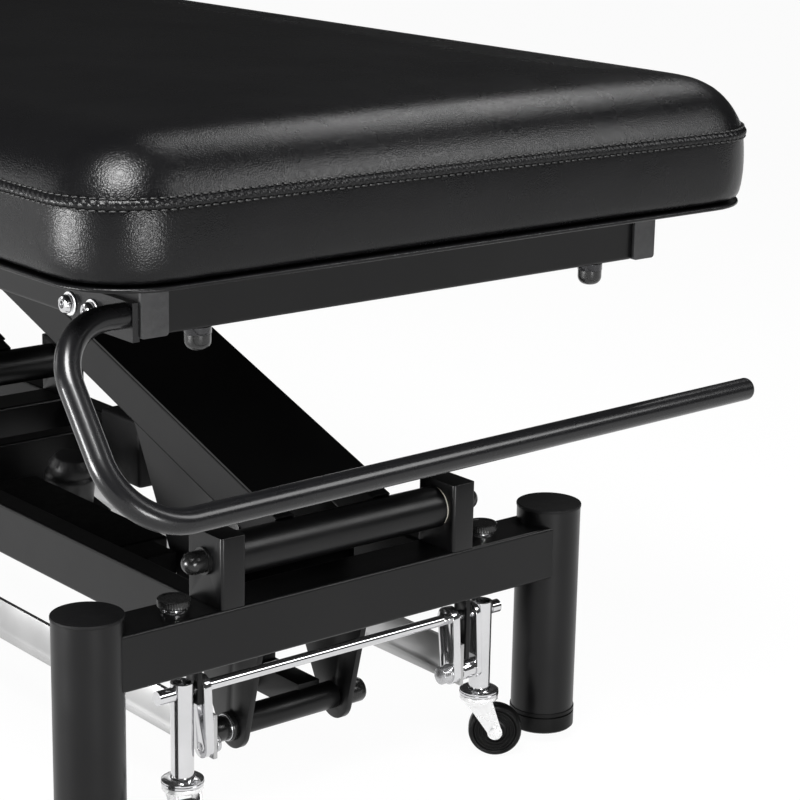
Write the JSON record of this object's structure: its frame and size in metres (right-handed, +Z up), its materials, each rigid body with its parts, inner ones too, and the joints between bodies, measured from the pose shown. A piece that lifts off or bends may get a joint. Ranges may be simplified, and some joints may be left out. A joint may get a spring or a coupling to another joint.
{
  "type": "treatment table",
  "caption": "Padded treatment table on a black tube frame with an electric parallel-arm lift, swing-away casters and a bent paper-roll bar at one end.",
  "frame": {"origin": "floor level under the middle of the table's overall box", "axes": "+X across the table to the right seen from the roll-bar end, +Y along the table away from the roll-bar end, +Z up"},
  "size_m": [0.7, 1.8794, 0.65],
  "materials": {
    "vinyl": "fine-grained leather-look vinyl over foam",
    "board": "board wrapped in the cover material",
    "frame_black": "satin powder coat",
    "gloss_black": "gloss powder coat",
    "black_fastener": "blackened, smooth",
    "plastic_black": "fine-grained moulding",
    "rubber_black": "matt",
    "bush_nylon": "natural nylon",
    "pin_steel": "ground",
    "motor_grey": "matt casing",
    "chrome": "bright plated",
    "zinc": "bright zinc plated"
  },
  "bodies": {
    "base": {"base_end_crossbars": "frame_black", "mid_crossbar": "frame_black", "actuator_crossbar": "frame_black", "base_side_rails": "frame_black", "legs": "frame_black", "leg_caps": "plastic_black", "leg_feet": "rubber_black", "pivot_posts": "frame_black", "base_pivot_pins": "pin_steel", "pivot_dome_nuts": "black_fastener", "actuator_bracket": "frame_black", "control_box": "plastic_black", "supply_box": "plastic_black", "power_inlet": "plastic_black", "caster_hangers": "frame_black"},
    "near_arm": {"near_arm_tubes": "frame_black", "near_arm_bars": "frame_black", "near_arm_cover": "frame_black", "near_arm_bushes": "bush_nylon", "lever_plates": "frame_black", "lever_shaft": "black_fastener", "lever_bolts": "black_fastener"},
    "far_arm": {"far_arm_tubes": "frame_black", "far_arm_bars": "frame_black", "far_arm_cover": "frame_black", "far_arm_bushes": "bush_nylon"},
    "top": {"top_side_rails": "frame_black", "top_end_rails": "frame_black", "top_cross_rails": "frame_black", "top_brackets": "frame_black", "upper_pivot_shafts": "pin_steel", "rail_end_plugs": "plastic_black", "bumpers": "rubber_black", "deck_board": "board", "cushion": "vinyl", "roll_bar": "gloss_black", "roll_bar_bolts": "chrome"},
    "actuator": {"actuator_housing": "motor_grey", "actuator_motor": "motor_grey"},
    "actuator_ram": {"actuator_rod": "black_fastener"},
    "near_carrier": {"near_caster_rod": "chrome", "near_caster_stem_tubes": "chrome", "near_caster_levers": "chrome", "near_caster_link_bolts": "chrome"},
    "far_carrier": {"far_caster_rod": "chrome", "far_caster_stem_tubes": "chrome", "far_caster_levers": "chrome", "far_caster_link_bolts": "chrome"},
    "links": {"link_bars": "zinc"},
    "near_left_swivel": {"near_left_caster_fork": "zinc"},
    "near_left_roller": {"near_left_caster_wheel": "rubber_black"},
    "near_left_lock": {"near_left_lock_knob": "plastic_black"},
    "near_right_swivel": {"near_right_caster_fork": "zinc"},
    "near_right_roller": {"near_right_caster_wheel": "rubber_black"},
    "near_right_lock": {"near_right_lock_knob": "plastic_black"},
    "far_left_swivel": {"far_left_caster_fork": "zinc"},
    "far_left_roller": {"far_left_caster_wheel": "rubber_black"},
    "far_left_lock": {"far_left_lock_knob": "plastic_black"},
    "far_right_swivel": {"far_right_caster_fork": "zinc"},
    "far_right_roller": {"far_right_caster_wheel": "rubber_black"},
    "far_right_lock": {"far_right_lock_knob": "plastic_black"}
  },
  "joints": [
    {"name": "lift", "type": "hinge", "parent": "base", "child": "near_arm", "pos_m": [0, -0.7352, 0.255], "axis": [1, 0, 0], "range_deg": [-10, 20]},
    {"name": "far_lift", "type": "hinge", "parent": "base", "child": "far_arm", "pos_m": [0, -0.0752, 0.255], "axis": [1, 0, 0], "range_deg": [-10, 20]},
    {"name": "top_level", "type": "hinge", "parent": "near_arm", "child": "top", "pos_m": [0, -0.26244, 0.41778], "axis": [1, 0, 0], "range_deg": [-20, 10]},
    {"name": "actuator_tilt", "type": "hinge", "parent": "base", "child": "actuator", "pos_m": [0, -0.2102, 0.149], "axis": [1, 0, 0], "range_deg": [-2.5, 1.3]},
    {"name": "actuator_stroke", "type": "slide", "parent": "actuator", "child": "actuator_ram", "axis": [0, -0.9821, -0.1886], "range_m": [-0.069, 0.035]},
    {"name": "caster_swing", "type": "hinge", "parent": "base", "child": "near_carrier", "pos_m": [0, -0.7352, 0.143], "axis": [1, 0, 0], "range_deg": [0, 40]},
    {"name": "far_caster_swing", "type": "hinge", "parent": "base", "child": "far_carrier", "pos_m": [0, 0.6648, 0.143], "axis": [1, 0, 0], "range_deg": [0, 40]},
    {"name": "link_pivot", "type": "hinge", "parent": "near_carrier", "child": "links", "pos_m": [0, -0.7402, 0.091], "axis": [1, 0, 0], "range_deg": [-40, 0]},
    {"name": "near_left_swivel_turn", "type": "hinge", "parent": "near_carrier", "child": "near_left_swivel", "pos_m": [-0.1625, -0.7352, 0.06], "axis": [0, 0, 1], "continuous": true},
    {"name": "near_left_wheel_roll", "type": "hinge", "parent": "near_left_swivel", "child": "near_left_roller", "pos_m": [-0.16528, -0.75096, 0.025], "axis": [0.9848, -0.1736, 0], "continuous": true},
    {"name": "near_left_lock_pull", "type": "slide", "parent": "base", "child": "near_left_lock", "axis": [0, 0, 1], "range_m": [0, 0.008], "stiffness_N_per_m": 600, "springref_m": -0.004},
    {"name": "near_right_swivel_turn", "type": "hinge", "parent": "near_carrier", "child": "near_right_swivel", "pos_m": [0.1725, -0.7352, 0.06], "axis": [0, 0, 1], "continuous": true},
    {"name": "near_right_wheel_roll", "type": "hinge", "parent": "near_right_swivel", "child": "near_right_roller", "pos_m": [0.18439, -0.74591, 0.025], "axis": [0.6691, 0.7431, 0], "continuous": true},
    {"name": "near_right_lock_pull", "type": "slide", "parent": "base", "child": "near_right_lock", "axis": [0, 0, 1], "range_m": [0, 0.008], "stiffness_N_per_m": 600, "springref_m": -0.004},
    {"name": "far_left_swivel_turn", "type": "hinge", "parent": "far_carrier", "child": "far_left_swivel", "pos_m": [-0.1625, 0.6648, 0.06], "axis": [0, 0, 1], "continuous": true},
    {"name": "far_left_wheel_roll", "type": "hinge", "parent": "far_left_swivel", "child": "far_left_roller", "pos_m": [-0.17636, 0.6728, 0.025], "axis": [-0.5, -0.866, 0], "continuous": true},
    {"name": "far_left_lock_pull", "type": "slide", "parent": "base", "child": "far_left_lock", "axis": [0, 0, 1], "range_m": [0, 0.008], "stiffness_N_per_m": 600, "springref_m": -0.004},
    {"name": "far_right_swivel_turn", "type": "hinge", "parent": "far_carrier", "child": "far_right_swivel", "pos_m": [0.1725, 0.6648, 0.06], "axis": [0, 0, 1], "continuous": true},
    {"name": "far_right_wheel_roll", "type": "hinge", "parent": "far_right_swivel", "child": "far_right_roller", "pos_m": [0.17797, 0.67983, 0.025], "axis": [-0.9397, 0.342, 0], "continuous": true},
    {"name": "far_right_lock_pull", "type": "slide", "parent": "base", "child": "far_right_lock", "axis": [0, 0, 1], "range_m": [0, 0.008], "stiffness_N_per_m": 600, "springref_m": -0.004}
  ],
  "couplings": [
    {"joint": "far_lift", "follows": "lift", "ratio": 1},
    {"joint": "top_level", "follows": "lift", "ratio": -1},
    {"joint": "actuator_tilt", "follows": "lift", "ratio": -0.11973},
    {"joint": "actuator_stroke", "follows": "lift", "m_per_rad": -0.19582},
    {"joint": "far_caster_swing", "follows": "caster_swing", "ratio": 1},
    {"joint": "link_pivot", "follows": "caster_swing", "ratio": -1}
  ]
}
